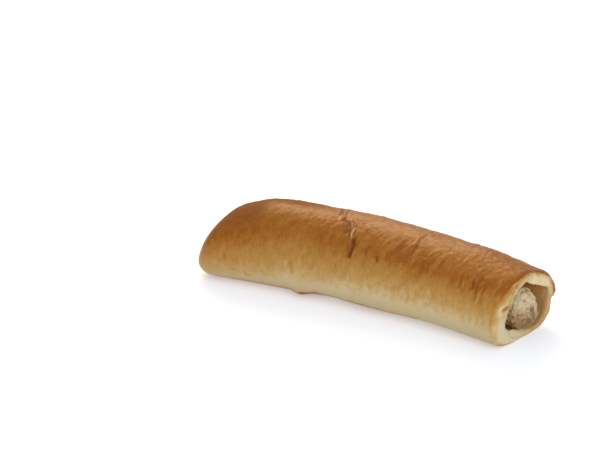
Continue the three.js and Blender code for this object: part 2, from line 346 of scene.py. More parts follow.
# Marks on the open end's rim: angle, half width, reach, half width over the wall, and slant in degrees.
PINCH_GROOVE = (161, 3.4, 0.35, 0.36, 11)
PINCH_LIP = (168, 6.5, 0.76, 0.13, 0)
CREASE_ON_RIM = (46, 2.8, 0.25, 0.35, 0)
TEAR = (100, 9, 0.3, 0.22, 0)
RIM_MARKS = ((-1.3, PINCH_GROOVE), (0.6, PINCH_LIP), (-0.5, CREASE_ON_RIM), (-0.25, TEAR))  # with their rise
FACE_DEPTHS = (5, 2)  # from the open end: its face sets in between them


def set_back(x, angle):
    below = angle_between(SEAM_ANGLE, angle)
    amount = SEAM_SET_BACK * (1 - smoothstep(below, 0, SET_BACK_FADE))
    return np.where(below < 0, 0, amount) * near_open_end(x, SET_BACK_REACH, 0)


def tongue_recess(angle, reach):
    fold = TONGUE.fold + TONGUE.slant * reach
    turn = np.degrees(angle) % 360
    face = smoothstep(turn, fold, fold + TONGUE.width) * (1 - smoothstep(turn, *TONGUE.end))
    return TONGUE.recess * face * (1 - smoothstep(reach, *TONGUE.reach))


def rim_point(end, share, angle):
    """Goes over a rim: share runs from 0 at the skin to 1 at the bore. Gives x and reach."""
    rim, bore_depth = (OPEN_RIM, edge_depth(angle)) if end > 0 else (NIPPED_RIM, NIPPED_RIM.bore_depth)
    outer = share < 0.5
    depth = (rim.skin_depth if outer else bore_depth) * (1 - sin(np.pi * share))
    reach = rim.crest + (1 - rim.crest if outer else rim.crest) * cos(np.pi * share)
    return end * (HALF - depth) + 0 * angle, reach + 0 * angle


def rim_places(angle, reach):
    return spots(RIM_ARC * cos(angle), RIM_ARC * sin(angle), RIM_WALL * reach)


def rim_mark(angle, reach, turn, wide, middle, thick, slant):
    """1 in the middle of a mark on the rim, and 0 well away from it."""
    return bump(angle_between(angle, rad(turn) + rad(slant) * reach), rad(wide)) * bump(reach - middle, thick)


def rim_band(angle, reach, middle, thick, *angles):
    """An amount between two angles, along the rim about one reach."""
    return sector(angle, *angles) * bump(reach - middle, thick)


def rim_relief(angle, reach):
    """Dents, creases and tears of the open end's rim, in mm."""
    marks = sum(rise * rim_mark(angle, reach, *mark) for rise, mark in RIM_MARKS)
    return layered(rim_places(angle, reach), RIM_DENTS) + marks


# ---- the bread's mesh

UNDERSIDE = (235, 305)  # where the mesh is coarser
UNDERSIDE_STEPS = 20
ROUND_STEPS = 182
WRINKLE_ZONE = (-24, 3)  # stations are closer here
SKIN_SPACING = Sizes(nipped=0.6, wrinkled=0.33, opened=0.54)
RIM_STEPS = 56
BORE_ROWS = 40  # behind the mouth's edge, down to this depth
BORE_ROWS_REACH = 20.0
BORE_SPACING = 5.0  # from there on


def spread(start, stop, spacing):
    return np.linspace(start, stop, int(np.ceil(abs(stop - start) / spacing)) + 1)


def bread_angles():
    start, stop = UNDERSIDE
    under = np.linspace(rad(start), rad(stop), UNDERSIDE_STEPS)[1:-1]
    rest = np.linspace(rad(stop - 360), rad(start), ROUND_STEPS)
    return np.concatenate([rest, under])


def wall_row(x, reach, angles):
    bore_x = np.clip(x, -HALF + NIPPED_RIM.bore_depth, HALF - edge_depth(angles))
    return x, lerp(bore_radius(bore_x, angles), skin_radius(x, angles), reach), reach


def bread_grid():
    """One lap over the skin and back through the bore: x, radius, reach and angle at each point."""
    angles = bread_angles()
    start, stop = WRINKLE_ZONE
    skin = [
        spread(-HALF + NIPPED_RIM.skin_depth, start, SKIN_SPACING.nipped),
        spread(start, stop, SKIN_SPACING.wrinkled)[1:-1],
        spread(stop, HALF - OPEN_RIM.skin_depth, SKIN_SPACING.opened),
    ]
    rim = np.linspace(0, 1, RIM_STEPS)[1:-1]
    outer = [(np.full_like(angles, x), np.ones_like(angles)) for x in np.concatenate(skin)]
    outer += [rim_point(1, share, angles) for share in rim]
    nipped = [rim_point(-1, share, angles) for share in rim[::-1][::2]]
    mouth = np.linspace(0, 1, BORE_ROWS) ** 1.5
    bore = [HALF - lerp(edge_depth(angles), BORE_ROWS_REACH, share) for share in mouth]
    deeper = spread(HALF - BORE_ROWS_REACH, -HALF + NIPPED_RIM.bore_depth, BORE_SPACING)[1:]
    bore += [np.full_like(angles, x) for x in deeper]
    rows = [wall_row(*row, angles) for row in outer]
    rows += [(x, bore_radius(x, angles), np.zeros_like(angles)) for x in bore]
    rows += [wall_row(*row, angles) for row in nipped]
    x, radius, reach = (np.array(column) for column in zip(*rows))
    return x, radius, reach, np.broadcast_to(angles, x.shape)


def grid_normals(points):
    """Normals of a grid that closes on itself both ways, pointing out of the dough."""
    down, across = (np.roll(points, -1, axis=axis) - np.roll(points, 1, axis=axis) for axis in (0, 1))
    normal = np.cross(across, down)
    return normal / np.maximum(np.linalg.norm(normal, axis=-1, keepdims=True), 1e-9)


def add(name, data):
    thing = bpy.data.objects.new(name, data)
    bpy.context.scene.collection.objects.link(thing)
    return thing


def make_mesh(name, points, closed_lap=True):
    """A piece from rows of points that close round. In a closed lap, the columns do so as well."""
    rows, columns = points.shape[:2]
    row = np.arange(rows if closed_lap else rows - 1)[:, None]
    column = np.arange(columns)[None, :]
    after = (row + 1) % rows
    beside = (column + 1) % columns
    corners = ((row, column), (row, beside), (after, beside), (after, column))
    faces = np.broadcast_arrays(*(i * columns + j for i, j in corners))
    faces = np.stack(faces, axis=-1).reshape(-1, 4)
    mesh = bpy.data.meshes.new(name)
    mesh.from_pydata((points.reshape(-1, 3) - MIDDLE) * MM, [], faces.tolist())
    mesh.shade_smooth()
    return add(name, mesh)


def store(piece, name, values):
    """Keeps a number for each point, which the material reads by name."""
    attribute = piece.data.attributes.new(name, "FLOAT", "POINT")
    attribute.data.foreach_set("value", np.ascontiguousarray(values, dtype=np.float32).ravel())


# ---- folds, wrinkles and skin relief

SKIN_ARC = 21.0  # mm of skin for each radian round the roll, near enough

# Creases and folds: half width, depth (of a ridge: negative), rise of the lip beside it (negative: of one on
# the side of -X), and the (x, angle) points of its line.
CREASES = (
    (0.75, 1.3, -0.3, (-2.9, 126), (-1.9, 132), (-1.25, 139), (-1.3, 147), (-2.0, 155), (-2.2, 159)),
    (0.45, 0.4, 0, (-5.2, 108), (-4.1, 115), (-3.4, 122), (-2.5, 129)),
    (0.8, -0.85, 0, (-11, 100), (-9, 105), (-7, 111), (-5.6, 117), (-4.6, 124), (-3.2, 131), (-2.4, 138)),
    (1.3, 0.55, -0.15, (-10.4, 105), (-8.6, 111), (-7.4, 119), (-7.2, 130)),
    (0.8, -0.55, 0, (-18.5, 68), (-16.8, 82), (-15.2, 93), (-13.6, 102), (-12.2, 110)),
    (0.65, 0.5, -0.2, (-22, 66), (-19.8, 77), (-18, 86), (-16.7, 95), (-16.4, 104)),
    (0.7, 0.6, -0.2, (-13.2, 104), (-11.7, 109), (-10.2, 111)),
    (0.7, 0.3, 0.15, (-4, 94), (-4.2, 107)),
    (0.6, -0.3, 0, (-0.8, 103), (1, 111), (3, 118)),
    (0.6, 0.25, -0.2, (1.2, 102), (3.6, 109), (5.2, 112)),
    (0.6, 0.35, 0.15, (-8.8, 163), (-8.2, 170), (-8.1, 176)),
    (0.5, 0.25, 0.15, (-5.4, 158), (-4.8, 164)),
    (0.7, 0.4, -0.2, (7.2, 133), (6.4, 141), (6.0, 148)),
    (0.8, 0.6, 0.15, (12.2, 144), (14.2, 154)),
    (0.6, -0.2, 0, (25, 86), (26.2, 96)),
    (0.7, -0.4, 0, (27.8, 82), (28.6, 95), (28.2, 106), (29.2, 118), (29.6, 126)),
    (0.5, 0.45, 0, (28.9, 103), (29.9, 112), (30.4, 124), (30, 133)),
    (0.9, 0.4, 0, (23.6, 113), (23.1, 125), (23.3, 139)),
    (0.6, 0.2, 0.2, (20.8, 156), (19.8, 166), (18.2, 176)),
    (0.7, 0.25, -0.1, (33.2, 80), (32.8, 94)),
    (0.6, 0.2, 0.1, (60.2, 86), (60.8, 97)),
    (0.6, 0.2, 0.1, (62.6, 82), (62.1, 90)),
    (0.5, 0.4, 0.3, (58.3, 138), (59.3, 147), (60.4, 153), (61.5, 163)),
    (0.45, 0.6, 0.4, (66.3, 137), (65.6, 142), (66.4, 149), (64.3, 157)),
    (0.45, 0.62, -0.45, (68.6, 129), (69.2, 137), (67.9, 145), (68.3, 158)),
    (0.5, 0.38, -0.3, (71.2, 141), (72.8, 148), (72.2, 158)),
    (0.45, 0.35, 0.3, (64.2, 133), (63.4, 139), (62.0, 144)),
    (0.45, 0.35, 0.3, (66.6, 152), (68.8, 155), (69.6, 161), (68.6, 167)),
    (0.5, 0.3, 0.25, (75.4, 148), (74.2, 155), (74.6, 163)),
    (0.5, 0.35, 0.2, (47.5, 127), (46.4, 135), (46.8, 143)),
    (0.5, 0.3, -0.2, (38.5, 138), (37.4, 146), (37.0, 155)),
    (0.5, 0.25, 0.2, (53.5, 150), (52.6, 158), (53.0, 166)),
    (0.8, 0.4, 0.1, (-69.5, 170), (-69.3, 184)),
    (0.7, 0.25, 0.1, (-62.6, 178), (-62.3, 190)),
    (0.9, 0.4, 0.15, (-34, 172), (-33.2, 182), (-32, 194)),
    (0.7, 0.4, 0.1, (-66.5, 193), (-64.5, 197), (-62.8, 197)),
    (0.6, 0.45, 0.35, (-59.5, 198), (-57.5, 203), (-55.8, 204.5)),
    (0.6, 0.2, 0.2, (-57, 196), (-52, 194), (-47, 194)),
    (0.7, 0.2, -0.25, (31, 126), (34, 132), (39, 131.5), (43, 127)),
    (0.7, 0.45, 0.35, (-48, 8), (-46.5, 20), (-47, 33), (-44, 45)),
    (0.6, 0.3, -0.3, (-41, 2), (-39.8, 14), (-40.5, 26)),
    (0.7, 0.35, 0.3, (12, 6), (13.5, 22), (12.5, 38)),
    (0.6, 0.25, -0.2, (17.5, 4), (17, 16), (19, 27)),
    (0.7, 0.5, -0.4, (52, 12), (53, 28), (51.5, 48), (53, 60)),
    (0.6, 0.2, 0.25, (-14, 22), (-10, 26), (-6, 23)),
)
CREASE_REACH = 5.0  # mm round a line that its relief takes in
CREASE_ENDS = ((0, 0.25), (0.8, 1))  # shares of its length over which it sets in and runs out
CREASE_LIP = Sizes(away=1.7, width=1.3)  # in half widths of the crease
# Painted shade in a crease's groove, a little off its middle.
CREASE_SHADE = Sizes(away=0.25, width=1.25, power=1.2)

# Pale cracks and painted highlights along the ridges of the folds: half width, paleness and the points of the
# line.
CRACKS_AND_GLINTS = (
    (0.22, 0.85, (-4.6, 114), (-4.3, 119), (-3.9, 126), (-2.9, 132)),
    (0.4, 0.4, (-15.9, 97), (-15.5, 102), (-15.0, 108)),
    (0.3, 0.5, (-1.9, 157), (-1.4, 158)),
    (0.6, 0.2, (-10.6, 102), (-9, 106), (-7.2, 111.5), (-6, 116)),
    (0.5, 0.14, (28, 83), (28.7, 95), (28.3, 106), (29.2, 118)),
    (0.45, 0.3, (-46, 8), (-44.6, 22), (-45, 32)),
    (0.45, 0.3, (51.5, 14), (51.8, 28), (50.4, 44)),
)
CRACK_REACH = 2.0
CRACK_END = (-0.1, 0.2)  # shares of its length over which either end fades

# Rucks are short furrows. They lean, but less beyond some stations.
RUCKS = ((1, (1.5, 4.2, 1), 9), (0.5, (0.9, 2.4, 1), 15))
RUCK_PATCHES = (7, 10, 0.6, 0.8)
RUCK_ANGLE = rad(145)
RUCK_LEAN = Sizes(slope=0.45, less=0.6, stations=(42, 58))
RUCKED_FRONT = ((122, 164, 18, 1), (150, 186, 14, 0.6))
RUCKED_BACK = (8, 60, 12, 0.5)
RUCKS_SET_IN = (-76, -62)
RUCKS_DEEPEN = (-12, 14)
SHALLOW_RUCKS = 0.45  # the share before that

SEAM_CRACKLE = Sizes(size=(3.2, 1.6, 1), seed=13, ridge=0.12, below=rad(6), width=rad(9))
SEAM_PATCHES = (9, 14, 0.25, 1.3)
SEAM_SHADE = Sizes(darkness=0.5, below=rad(0.5), width=rad(1.6))

SKIN_WAVES = ((0.38, 17, 1), (0.18, 7.5, 2))
SKIN_CELLS = ((0.1, 1.9, 3), (0.06, 1.1, 4))
PLEATS = ((0.11, (2.3, 6, 6), 5), (0.06, (1.4, 3, 3), 6))
PLEAT_WARP = ((0.9, 6, 7),)  # sways the pleats along the roll
CROWN_FROM = (-0.3, 0.4)  # by the sine of the angle
CELLS_SHARE = (0.6, 1.6)  # below it and on it
PLEATS_SHARE = (1.1, 0.5)
RUCK_DEPTH = 0.26
CRACKLE_HEIGHT = 0.3


def skin_places(x, angle):
    return spots(x, SKIN_ARC * cos(angle), SKIN_ARC * sin(angle))


def line_distance(x, angle, line, reach):
    """Where a line on the skin is near, and there the signed distance from it and the share along it."""
    corners = np.array([(at, rad(turn) * SKIN_ARC) for at, turn in line])
    arc = angle_between(angle, rad(line[0][1])) * SKIN_ARC + corners[0, 1]
    near = (x > corners[:, 0].min() - reach) & (x < corners[:, 0].max() + reach)
    near &= (arc > corners[:, 1].min() - reach) & (arc < corners[:, 1].max() + reach)
    places = np.stack([x[near], arc[near]], axis=-1)
    steps = np.diff(corners, axis=0)
    lengths = np.linalg.norm(steps, axis=1)
    starts = np.concatenate([[0], np.cumsum(lengths)])
    away = places[:, None] - corners[:-1]
    share = np.clip((away * steps).sum(axis=-1) / lengths**2, 0, 1)
    distance = np.hypot(*np.moveaxis(away - share[..., None] * steps, -1, 0))
    turned = away[..., 0] * steps[:, 1] - away[..., 1] * steps[:, 0]
    run = (starts[:-1] + share * lengths) / starts[-1]
    nearest = np.arange(len(places)), distance.argmin(axis=1)
    return near, np.copysign(distance, turned)[nearest], run[nearest]


def crease_relief(x, angle, width, depth, rise, *line):
    """The rise of the skin round one crease, and the painted shade of its groove at each place (0 to 1)."""
    relief = np.zeros_like(x)
    groove = np.zeros_like(x)
    near, across, run = line_distance(x, angle, line, CREASE_REACH)
    start, stop = CREASE_ENDS
    fade = smoothstep(run, *start) * (1 - smoothstep(run, *stop))
    lip = abs(rise) * bump(across - np.sign(rise) * CREASE_LIP.away * width, CREASE_LIP.width * width)
    relief[near] = fade * (lip - depth * bump(across, width))
    groove_shade = bump(across + CREASE_SHADE.away * width, CREASE_SHADE.width * width)
    groove[near] = fade * groove_shade * min(1, max(0, depth) ** CREASE_SHADE.power)
    return relief, groove


# Pale cracks and painted highlights along the ridges of the folds.
def crack_and_glint_marks(x, angle):
    marks = np.zeros_like(x)
    for width, paleness, *line in CRACKS_AND_GLINTS:
        near, across, run = line_distance(x, angle, line, CRACK_REACH)
        fade = smoothstep(run, *CRACK_END) * smoothstep(1 - run, *CRACK_END)
        marks[near] = np.maximum(marks[near], paleness * bump(across, width) * fade)
    return marks


def rucks(x, angle):
    """Short, mostly upright furrows and ridges, above and below 0."""
    arc = SKIN_ARC * angle_between(angle, RUCK_ANGLE)
    upright = 1 - RUCK_LEAN.less * smoothstep(x, *RUCK_LEAN.stations)
    leaning = x + RUCK_LEAN.slope * arc * upright
    furrows = layered(spots(leaning, arc), RUCKS) * patches(spots(x, arc), *RUCK_PATCHES)
    front = np.maximum(*(sector(angle, *row) for row in RUCKED_FRONT))
    front = front * lerp(SHALLOW_RUCKS, 1, smoothstep(x, *RUCKS_DEEPEN))
    return furrows * (front + sector(angle, *RUCKED_BACK)) * smoothstep(x, *RUCKS_SET_IN)


def seam_crackle(x, angle):
    """Torn, flaky lines along the seam, 1 on the ridge of each."""
    off = angle_between(angle, seam_angle(x))
    line = bump(field(spots(x, SKIN_ARC * off), SEAM_CRACKLE.size, SEAM_CRACKLE.seed), SEAM_CRACKLE.ridge)
    along_seam = bump(off + SEAM_CRACKLE.below, SEAM_CRACKLE.width)
    return line * patches(spots(x), *SEAM_PATCHES) * along_seam


def skin_relief(x, angle):
    """Everything finer than the swellings, in mm, and the painted shade in the creases and along the seam (0
    to 1).
    """
    places = skin_places(x, angle)
    crown = smoothstep(sin(angle), *CROWN_FROM)
    cells = layered(places, SKIN_CELLS) * lerp(*CELLS_SHARE, crown)
    pleats = layered(places + spots(layered(places, PLEAT_WARP)), PLEATS) * lerp(*PLEATS_SHARE, crown)
    relief = layered(places, SKIN_WAVES) + cells + pleats
    relief = relief - RUCK_DEPTH * rucks(x, angle) + CRACKLE_HEIGHT * seam_crackle(x, angle)
    below_seam = angle_between(angle, seam_angle(x) - SEAM_SHADE.below)
    groove = SEAM_SHADE.darkness * bump(below_seam, SEAM_SHADE.width)
    for crease in CREASES:
        rise, darkness = crease_relief(x, angle, *crease)
        relief = relief + rise
        groove = np.maximum(groove, darkness)
    return relief, groove


# ---- how far the bread is baked

# Along the roll: the angle in front down to which the crust is brown, the one where it is pale, and how fast
# it turns pale.
FRONT_BROWNING = (
    (-78, 150, 221, 1.2),
    (-62, 140, 216, 1.3),
    (-30, 130, 210, 1.3),
    (0, 141, 205, 1.0),
    (20, 146, 203, 0.85),
    (45, 148, 203, 0.82),
    (75, 143, 205, 0.9),
    (85, 141, 206, 0.9),
)
PALE_TAIL = 0.06  # draws out the palest part
FRONT_FROM = 75  # degrees
BACK_BROWNING = (-34, 12)
BROWNING_WAVES = ((5, 16, 11), (3, 5, 12))  # in degrees
RUCK_BROWNING = 0.22
# Painted shadow on the shoulder of the nipped end, as extra browning.
SHOULDER_SHADOW = Sizes(browning=0.12, stations=(-74, -50), angle=115, width=55)

# Painted shadow darkens the crust on the shoulder of the nipped end and along the crown beside it, which is
# also matt there: the stations where each of these two ends, and its angles in front.
SHADOWED_MATT_ZONES = (((-45, -12), (84, 102)), ((-66, -46), (112, 140)))
SHADOWED_MATT_FROM = (40, 65)
PAINTED_SHADOW_BROWNING = 0.2

# Where the crust stops on the open end's rim: an angle and a reach.
CRUST_EDGE = (
    (-80, 0.85), (-55, 0.6), (-14, 0.55), (-6, 0.42), (2, 0.3), (12, 0.4), (24, 0.62), (40, 0.8),
    (60, 0.88), (80, 0.84), (105, 0.76), (135, 0.8), (165, 0.88), (180, 0.93), (215, 0.96),
)
CRUST_EDGE_WAVES = ((0.05, 4, 31), (0.03, 1.5, 32))
CRUST_EDGE_FADE = (-0.05, 0.09)
NIPPED_CRUST_EDGE = 0.5

# The rim inside that edge is golden, by less (as a share) or by more at some angles.
GOLDEN = Sizes(browning=0.32, width=0.3)
LESS_GOLDEN = ((20, 72, 15, 0.5625), (188, 300, 15, 0.55))
MORE_GOLDEN = ((88, 150, 12, 0.15), (-60, -10, 8, 0.2), (15, 55, 10, 0.08), (155, 200, 10, 0.05))
RIM_PATCHES = ((0.3, 3.5, 33), (0.2, 1.6, 34))
PATCHY_SHARE = (0.25, 1)  # on the lower rim and the upper one
UPPER_RIM = (20, 175, 20)
RIM_STAIN = (0.55, 0.2, 124, 138, 8, 0.2)  # a band: reach and half width, then as a sector
PALE_FRONT = (98, 200, 12, 0.8)  # along the mouth's edge
PALE_FRONT_REACH = (0.12, 0.36)
# Painted shade in the pinch's groove, a painted highlight on its lip, and browner dough beside it.
PINCH_TONES_AND_PAINTED_LIGHT = Sizes(groove=0.75, lip=-0.5, around=(150, 182, 8, 0.12))

# The corner between skin and rim is browner, and there is a nib by the seam.
CORNER = Sizes(browning=0.3, beyond=0.04, width=0.09, less_at_foot=(205, 300, 15, 0.6))
NIB = (-10, 6, 6, 0.3)
NIB_DEPTHS = (8, 3)

# The edge of the foot is toasted: how brown it is along the roll.
TOASTED = (
    (-80, 0.8), (-60, 0.65), (-38, 0.6), (-31, 1.0), (-24, 1.0), (-14, 0.5),
    (-2, 0.8), (6, 0.95), (16, 0.6), (40, 0.5), (85, 0.5),
)
TOASTED_FROM = (216.5, 219.5)
TOASTED_TO = (312, 330)
TOASTED_EDGE = ((2.2, 2.4, 36),)  # in degrees
FOOT_SHADE_TOP = 15.0  # mm: from here down to the tray, painted shade makes the pale dough darker and duller


def painted_shadow_and_matt_share(x, angle):
    """1 where the crust is matt and darkened by painted shadow."""
    degrees = degrees_over_crown(angle)
    zones = [(1 - smoothstep(x, *ends)) * (1 - smoothstep(degrees, *front)) for ends, front in SHADOWED_MATT_ZONES]
    return np.maximum(*zones) * smoothstep(degrees, *SHADOWED_MATT_FROM)


def browning(x, angle):
    """How far the crust is baked: 0 is pale dough, 1 is the brown of the crown."""
    degrees = degrees_over_crown(angle) + layered(skin_places(x, angle), BROWNING_WAVES)
    stations, *rows = zip(*FRONT_BROWNING)
    brown_to, pale_from, power = (np.interp(x, stations, row) for row in rows)
    front = 1 - np.clip((degrees - brown_to) / (pale_from - brown_to), 0, 1) ** power
    front = (1 + PALE_TAIL) * front**2 / (front + PALE_TAIL)
    back = smoothstep(degrees, *BACK_BROWNING)
    shoulder = (1 - smoothstep(x, *SHOULDER_SHADOW.stations)) * bump(degrees - SHOULDER_SHADOW.angle, SHOULDER_SHADOW.width)
    # Painted shadow on the nipped end's shoulder and along the crown beside it.
    painted_shadow = SHOULDER_SHADOW.browning * shoulder + PAINTED_SHADOW_BROWNING * painted_shadow_and_matt_share(x, angle)
    return np.where(degrees > FRONT_FROM, front, back) + painted_shadow + RUCK_BROWNING * rucks(x, angle)


def rim_browning(x, angle, reach, edge):
    """How far the rim is baked inside the crust's edge."""
    golden = GOLDEN.browning * smoothstep(reach, edge - GOLDEN.width, edge)
    for row in LESS_GOLDEN:
        golden = golden * (1 - sector(angle, *row))
    golden = golden + sectors(angle, MORE_GOLDEN) + rim_band(angle, reach, *RIM_STAIN)
    patchy = np.clip(layered(rim_places(angle, reach), RIM_PATCHES), 0, 1)
    patchy = patchy * lerp(*PATCHY_SHARE, sector(angle, *UPPER_RIM))
    pale = sector(angle, *PALE_FRONT) * (1 - smoothstep(reach, *PALE_FRONT_REACH))
    # Painted shade in the pinch's groove and a painted highlight on its lip.
    pinch = PINCH_TONES_AND_PAINTED_LIGHT.groove * rim_mark(angle, reach, *PINCH_GROOVE)
    pinch = pinch + PINCH_TONES_AND_PAINTED_LIGHT.lip * rim_mark(angle, reach, *PINCH_LIP)
    pinch = pinch + sector(angle, *PINCH_TONES_AND_PAINTED_LIGHT.around)
    return (golden + patchy) * (1 - pale) + np.where(x > 0, pinch, 0)


def corner_browning(x, angle, reach, edge):
    """How much browner the crust is where it turns onto the rim."""
    corner = CORNER.browning * bump(reach - edge - CORNER.beyond, CORNER.width)
    corner = corner * near_open_end(x, *FACE_DEPTHS) * (1 - sector(angle, *CORNER.less_at_foot))
    nib = sector(angle, *NIB) * near_open_end(x, *NIB_DEPTHS)
    # Painted highlight on the pinch's lip.
    lip = PINCH_TONES_AND_PAINTED_LIGHT.lip * rim_mark(angle, reach, *PINCH_LIP)
    return corner + nib + np.where(x > 0, lip, 0)


def browning_with_rims(x, angle, reach):
    edge = np.where(x > 0, follow(CRUST_EDGE, np.degrees(angle), 360), NIPPED_CRUST_EDGE)
    edge = edge + layered(rim_places(angle, reach), CRUST_EDGE_WAVES)
    rim = rim_browning(x, angle, reach, edge)
    crust = browning(x, angle) + corner_browning(x, angle, reach, edge)
    start, stop = CRUST_EDGE_FADE
    return lerp(rim, crust, smoothstep(reach, edge + start, edge + stop))


def toasting(x, angle):
    """How brown the edge of the foot is."""
    turn = np.degrees(angle) % 360
    ragged = turn + layered(spots(x), TOASTED_EDGE)
    return follow(TOASTED, x) * smoothstep(ragged, *TOASTED_FROM) * (1 - smoothstep(turn, *TOASTED_TO))


# ---- the tones inside and on the rim

# Depths behind the mouth's edge over which the bore's wall turns greasy and then dark, and the same in the
# gap between the upper lip and the back wall.
WALL_TONES = ((-1, 1), (3, 9))
GAP_TONE = (-0.2, 1.4)
GAP_ANGLES = (3, 84, 3)
GAP_SHADE = (72, 90, 9, 0.55)
GAP_SHADE_DEPTHS = (0, 1.5)
PALER_WALL = (176, 262, 12)  # by these shares, over these depths
PALER_SHARES = (0.9, 0.5)
PALER_DEPTHS = (0.6, 2.4)
NIPPED_END_TONE = (4, 6)  # from the nipped end, where the tones stop

GREASY_RIM = ((-42, -8, 10, 0.8), (-85, -45, 10, 0.3))
GREASY_RIM_REACH = 0.8
CRUMBLY_EDGE = (0, 0.12, 225, 300, 12, 1.3)  # a band, and so is the glint
CRUMBS = (1.3, 35, 0.3, 1.6)  # patches: size, seed, middle and contrast
FLOURY_RIM = (22, 66, 12, 0.34)
FLOURY_RIM_REACH = 0.75
GLINT = (0.77, 0.04, 109, 127, 3, 0.5)
GLINT_PATCHES = (1.5, 37, 0.5, 1.5)
CRACKLE_PALENESS = 0.35


def inside_tone(x, angle):
    """The bore's tone: 0 is pale crumb, 1 is the greasy wall and 2 the dark of a gap."""
    depth = HALF - x - edge_depth(angle)
    wall = sum(smoothstep(depth, *depths) for depths in WALL_TONES)
    paler = lerp(*PALER_SHARES, smoothstep(depth, *PALER_DEPTHS))
    wall = wall * (1 - paler * sector(angle, *PALER_WALL))
    gap = 2 * smoothstep(depth, *GAP_TONE)
    return lerp(wall, gap, sector(angle, *GAP_ANGLES)) * smoothstep(x + HALF, *NIPPED_END_TONE)


def inside_shade(x, angle):
    """How dark the gap is under the front of the upper lip."""
    depth = HALF - x - edge_depth(angle)
    return sector(angle, *GAP_SHADE) * smoothstep(depth, *GAP_SHADE_DEPTHS)


def rim_tone(angle, reach, unrolled):
    """The same on the rim: its greasy back, and crumbs along the tongue's edge."""
    crumbs = rim_band(angle, reach, *CRUMBLY_EDGE) * patches(unrolled, *CRUMBS)
    return sectors(angle, GREASY_RIM) + crumbs


def rim_paleness(angle, reach, unrolled):
    """A floury patch on the rim's top, and a broken glint in front."""
    floury = sector(angle, *FLOURY_RIM) * (reach < FLOURY_RIM_REACH)
    return floury + rim_band(angle, reach, *GLINT) * patches(unrolled, *GLINT_PATCHES)


SKIN_FROM = (0.75, 1)  # reach over which the rim turns into skin
OFF_TRAY = (0.4, 3)  # heights over which the relief sets in
RIM_RELIEF = Sizes(at_edge=0.35, whole_from=0.1)


def make_bread():
    x, radius, reach, angle = bread_grid()
    height = core_height(along(x)) + radius * sin(angle)
    back = set_back(x, angle) + np.where(x > 0, tongue_recess(angle, reach), 0)
    points = place(x - back, radius * cos(angle), height)
    on_skin = smoothstep(reach, *SKIN_FROM)
    on_face = (1 - on_skin) * near_open_end(x, *FACE_DEPTHS)
    relief, groove = skin_relief(x, angle)
    relief = relief * on_skin * smoothstep(points[..., 2], *OFF_TRAY)
    from_edge = lerp(RIM_RELIEF.at_edge, 1, smoothstep(reach, 0, RIM_RELIEF.whole_from))
    relief = relief + rim_relief(angle, reach) * on_face * from_edge
    points = points + grid_normals(points) * relief[..., None]
    points[..., 2] = np.maximum(points[..., 2], 0)
    bread = make_mesh("dough_sleeve", points)

    in_bore = reach == 0
    toasted = toasting(x, angle)
    low = np.clip(1 - points[..., 2] / FOOT_SHADE_TOP, 0, 1)
    unrolled = spots(x, RIM_ARC * angle, RIM_WALL * reach)
    face_tone = rim_tone(angle, reach, unrolled) * on_face * (reach < GREASY_RIM_REACH)
    pale = crack_and_glint_marks(x, angle) + CRACKLE_PALENESS * seam_crackle(x, angle)
    store(bread, "browning", browning_with_rims(x, angle, reach) + toasted * on_skin)
    store(bread, "inside", np.where(in_bore, inside_tone(x, angle), face_tone))
    store(bread, "matt_and_painted_shadow", painted_shadow_and_matt_share(x, angle) * on_skin)
    # Painted shade on the skin, darker towards the tray.
    store(bread, "foot", low * on_skin * (1 - toasted))
    # Painted shade in the creases, along the seam and in the gap under the upper lip.
    store(bread, "groove", np.where(in_bore, inside_shade(x, angle), groove * on_skin))
    store(bread, "crack_and_glint", pale * on_skin + rim_paleness(angle, reach, unrolled) * on_face)
    return bread


# ---- the sausage

SAUSAGE_FIT = 0.952  # of the CAD solid's radius, so that the lumps stay in the channel
SAUSAGE_END_SLOPE = Sizes(across=0.12, upward=0.3, fade=30)  # how the open end's face leans back
SAUSAGE_SPACING = 1.5
SAUSAGE_ROUND_STEPS = 240
DOME_STEPS = 80
MEAT_LUMPS = ((0.4, 3.6, 41), (0.06, 0.6, 44))
MEAT_MINCE = ((0.45, 2.3, 42), (0.22, 1.2, 43))  # ridged fields, which have pits between lumps
MINCE_LEVEL = 0.6  # takes a ridged field's middle to 0
PIT_DEPTH = 0.9  # mm from the bottom of the pits to the top of the lumps
SHADED_LOW_SIDE = Sizes(down=0.95, front=0.25, heights=(-5, 8))  # painted shade on the lower front side, where the meat is also browner and crumbled
LOW_SHADE_DEPTHS = (11.3, 2.3)  # from the open end, over which that sets in
# The painted shade is lighter deeper in the channel.
LOW_SHADE_INSIDE = 0.4


def meat_relief(places):
    """Lumps of minced meat with pits between them, in mm."""
    mince = sum(
        height * (2 * np.abs(field(places, size, seed)) - MINCE_LEVEL) for height, size, seed in MEAT_MINCE
    )
    return layered(places, MEAT_LUMPS) + mince


